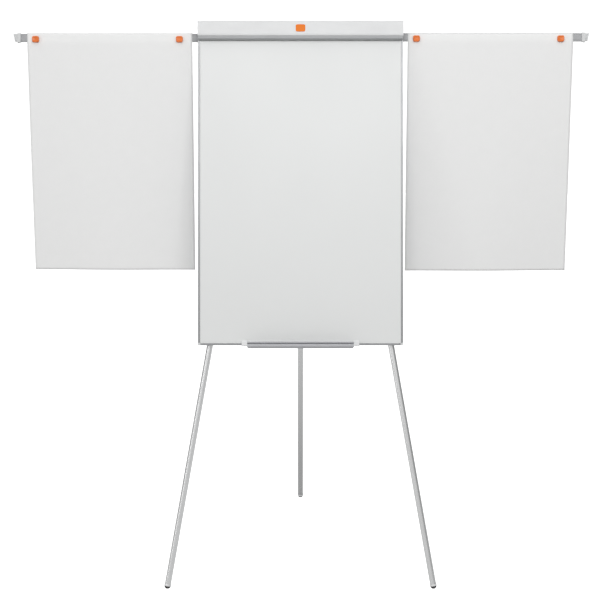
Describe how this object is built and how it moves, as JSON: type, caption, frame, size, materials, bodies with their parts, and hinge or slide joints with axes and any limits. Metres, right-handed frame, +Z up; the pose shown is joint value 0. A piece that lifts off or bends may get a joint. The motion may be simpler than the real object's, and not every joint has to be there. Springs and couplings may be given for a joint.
{
  "type": "flipchart easel",
  "caption": "Tripod flipchart easel: leaning magnetic whiteboard with hinged pad clamp, pen tray, telescopic legs and pull-out side arms that hold paper sheets with magnets.",
  "frame": {"origin": "on the floor, under the centre of the bounding box", "axes": "+Z up, +X to the right of someone facing the board, -Y out of the board towards that person"},
  "size_m": [1.973, 0.9982, 1.9164],
  "materials": {
    "white_lacquer": "gloss white lacquer on steel",
    "core_board": "raw fibre core",
    "galvanised_back": "galvanised sheet",
    "anodised_grey": "satin anodised",
    "arm_steel": "grey powder coat",
    "leg_aluminium": "bright anodised",
    "white_plastic": "satin white",
    "pale_plastic": "light grey",
    "grey_plastic": "mid grey",
    "black_plastic": "black",
    "black_rubber": "black",
    "orange_plastic": "satin orange",
    "paper": "matt white paper",
    "zinc_steel": "zinc plated"
  },
  "bodies": {
    "root": {"writing_surface": "white_lacquer", "board_core": "core_board", "board_back_sheet": "galvanised_back", "frame_rail_left": "anodised_grey", "corner_cap_left": "pale_plastic", "frame_rail_right": "anodised_grey", "corner_cap_right": "pale_plastic", "frame_rail_top": "anodised_grey", "frame_rail_bottom": "anodised_grey", "pen_tray": "anodised_grey", "tray_clip_left": "white_plastic", "tray_clip_right": "white_plastic", "header_base": "anodised_grey", "clamp_hinge_rod": "zinc_steel", "clamp_spring_left": "zinc_steel", "clamp_spring_right": "zinc_steel", "pad_hook_rail": "anodised_grey", "arm_rail": "anodised_grey", "arm_rail_divider": "anodised_grey", "arm_rail_back": "anodised_grey", "head_bracket": "zinc_steel", "left_leg_pin": "zinc_steel", "right_leg_pin": "zinc_steel", "rear_leg_pin": "zinc_steel", "left_leg_cradle": "grey_plastic", "right_leg_cradle": "grey_plastic"},
    "pad_clamp": {"clamp_cover": "white_plastic", "clamp_bar": "grey_plastic", "clamp_grip": "black_rubber", "clamp_badge": "orange_plastic"},
    "hook_left": {"pad_hook_left": "grey_plastic"},
    "hook_right": {"pad_hook_right": "grey_plastic"},
    "arm_left": {"left_arm": "arm_steel", "left_arm_cap": "pale_plastic"},
    "paper_left": {"left_sheet": "paper"},
    "magnet_left_inner": {"left_inner_magnet": "orange_plastic"},
    "magnet_left_outer": {"left_outer_magnet": "orange_plastic"},
    "arm_right": {"right_arm": "arm_steel", "right_arm_cap": "pale_plastic"},
    "paper_right": {"right_sheet": "paper"},
    "magnet_right_inner": {"right_inner_magnet": "orange_plastic"},
    "magnet_right_outer": {"right_outer_magnet": "orange_plastic"},
    "leg_left": {"left_leg_plug": "grey_plastic", "left_upper_tube": "leg_aluminium", "left_lock_collar": "grey_plastic"},
    "extension_left": {"left_lower_tube": "leg_aluminium", "left_rubber_foot": "black_rubber"},
    "lock_left": {"left_lock_lever": "black_plastic"},
    "leg_right": {"right_leg_plug": "grey_plastic", "right_upper_tube": "leg_aluminium", "right_lock_collar": "grey_plastic"},
    "extension_right": {"right_lower_tube": "leg_aluminium", "right_rubber_foot": "black_rubber"},
    "lock_right": {"right_lock_lever": "black_plastic"},
    "leg_rear": {"rear_leg_plug": "grey_plastic", "rear_upper_tube": "leg_aluminium", "rear_lock_collar": "grey_plastic"},
    "extension_rear": {"rear_lower_tube": "leg_aluminium", "rear_rubber_foot": "black_rubber"},
    "lock_rear": {"rear_lock_lever": "black_plastic"}
  },
  "joints": [
    {"name": "clamp_hinge", "type": "hinge", "parent": "root", "child": "pad_clamp", "pos_m": [-0.00135, -0.1775, 1.90663], "axis": [-1, 0, 0], "range_deg": [0, 75], "stiffness_Nm_per_rad": 0.6, "springref_deg": -28.65},
    {"name": "hook_slide_left", "type": "slide", "parent": "root", "child": "hook_left", "axis": [-1, 0, 0], "range_m": [0, 0.12]},
    {"name": "hook_slide_right", "type": "slide", "parent": "root", "child": "hook_right", "axis": [1, 0, 0], "range_m": [0, 0.12]},
    {"name": "arm_slide_left", "type": "slide", "parent": "root", "child": "arm_left", "axis": [1, 0, 0], "range_m": [0, 0.6]},
    {"name": "paper_lift_left", "type": "slide", "parent": "root", "child": "paper_left", "axis": [0, -1, 0], "range_m": [0, 0.3]},
    {"name": "magnet_pull_left_inner", "type": "slide", "parent": "paper_left", "child": "magnet_left_inner", "axis": [0, -0.9848, 0.1736], "range_m": [0, 0.05]},
    {"name": "magnet_pull_left_outer", "type": "slide", "parent": "paper_left", "child": "magnet_left_outer", "axis": [0, -0.9848, 0.1736], "range_m": [0, 0.05]},
    {"name": "arm_slide_right", "type": "slide", "parent": "root", "child": "arm_right", "axis": [-1, 0, 0], "range_m": [0, 0.6]},
    {"name": "paper_lift_right", "type": "slide", "parent": "root", "child": "paper_right", "axis": [0, -1, 0], "range_m": [0, 0.3]},
    {"name": "magnet_pull_right_inner", "type": "slide", "parent": "paper_right", "child": "magnet_right_inner", "axis": [0, -0.9848, 0.1736], "range_m": [0, 0.05]},
    {"name": "magnet_pull_right_outer", "type": "slide", "parent": "paper_right", "child": "magnet_right_outer", "axis": [0, -0.9848, 0.1736], "range_m": [0, 0.05]},
    {"name": "left_leg_fold", "type": "hinge", "parent": "root", "child": "leg_left", "pos_m": [-0.14035, -0.17598, 1.77994], "axis": [0, -0.9848, 0.1736], "range_deg": [0, 10]},
    {"name": "left_leg_telescope", "type": "slide", "parent": "leg_left", "child": "extension_left", "axis": [0.1736, 0.171, 0.9698], "range_m": [0, 0.8]},
    {"name": "left_leg_lock", "type": "hinge", "parent": "leg_left", "child": "lock_left", "pos_m": [-0.3008, -0.31479, 0.88041], "axis": [0.9848, -0.0302, -0.171], "range_deg": [0, 100]},
    {"name": "right_leg_fold", "type": "hinge", "parent": "root", "child": "leg_right", "pos_m": [0.13765, -0.17598, 1.77994], "axis": [0, 0.9848, -0.1736], "range_deg": [0, 10]},
    {"name": "right_leg_telescope", "type": "slide", "parent": "leg_right", "child": "extension_right", "axis": [-0.1736, 0.171, 0.9698], "range_m": [0, 0.8]},
    {"name": "right_leg_lock", "type": "hinge", "parent": "leg_right", "child": "lock_right", "pos_m": [0.2981, -0.31479, 0.88041], "axis": [0.9848, 0.0302, 0.171], "range_deg": [0, 100]},
    {"name": "rear_leg_fold", "type": "hinge", "parent": "root", "child": "leg_rear", "pos_m": [-0.00135, -0.14397, 1.7743], "axis": [-1, 0, 0], "range_deg": [0, 29.7]},
    {"name": "rear_leg_telescope", "type": "slide", "parent": "leg_rear", "child": "extension_rear", "axis": [0, -0.3371, 0.9415], "range_m": [0, 0.8]},
    {"name": "rear_leg_lock", "type": "hinge", "parent": "leg_rear", "child": "lock_rear", "pos_m": [-0.00135, 0.18586, 0.91095], "axis": [1, 0, 0], "range_deg": [0, 100]}
  ],
  "couplings": [
    {"joint": "paper_lift_left", "follows": "arm_slide_left", "ratio": 0.5},
    {"joint": "paper_lift_right", "follows": "arm_slide_right", "ratio": 0.5}
  ]
}
